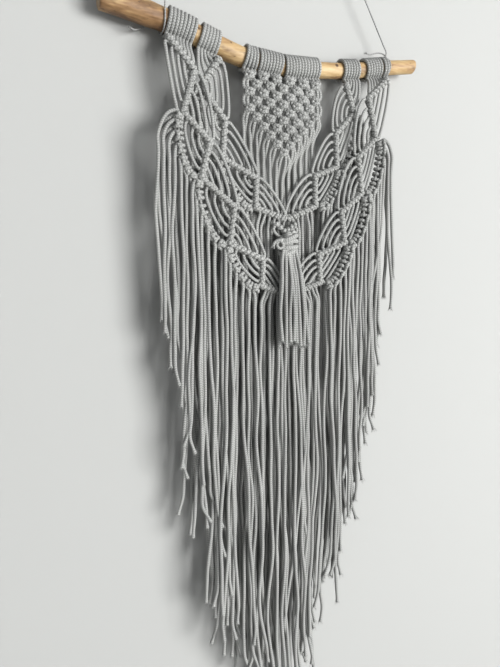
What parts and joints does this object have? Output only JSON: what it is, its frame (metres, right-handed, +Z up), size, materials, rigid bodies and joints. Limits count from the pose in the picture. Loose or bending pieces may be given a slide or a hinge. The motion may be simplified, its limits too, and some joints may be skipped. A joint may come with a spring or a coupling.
{
  "type": "macrame wall hanging on a wooden rod",
  "caption": "Wall hanging of knotted grey cord with a net panel, zigzag garlands, a tassel and a long pointed fringe, hung from a peeled branch by a twine.",
  "frame": {"origin": "top of the nail that the twine hangs on, at the underside of the twine's bend", "axes": "+Z up along the hanging's length, X along the rod with +X to the right seen from the front, the front faces -Y and the wall is at +Y"},
  "size_m": [0.472, 0.0777, 1.2769],
  "materials": {
    "cord": "matt braided cotton cord, cool grey",
    "twine": "matt twisted cotton twine, grey",
    "wood": "bare peeled branch, honey brown, low sheen"
  },
  "bodies": {
    "root": {"rod": "wood", "hanger_cord": "twine", "center_panel": "cord", "inner_garland_left": "cord", "inner_garland_right": "cord", "outer_garland_left": "cord", "outer_garland_right": "cord", "fringe_center": "cord", "fringe_inner_left_1": "cord", "fringe_inner_left_2": "cord", "fringe_inner_right_1": "cord", "fringe_inner_right_2": "cord", "fringe_inner_tip": "cord", "fringe_outer_left_1": "cord", "fringe_outer_left_2": "cord", "fringe_outer_left_3": "cord", "fringe_outer_right_1": "cord", "fringe_outer_right_2": "cord", "fringe_outer_right_3": "cord", "fringe_outer_tip": "cord", "tassel": "cord", "tassel_ties": "cord"}
  },
  "joints": []
}
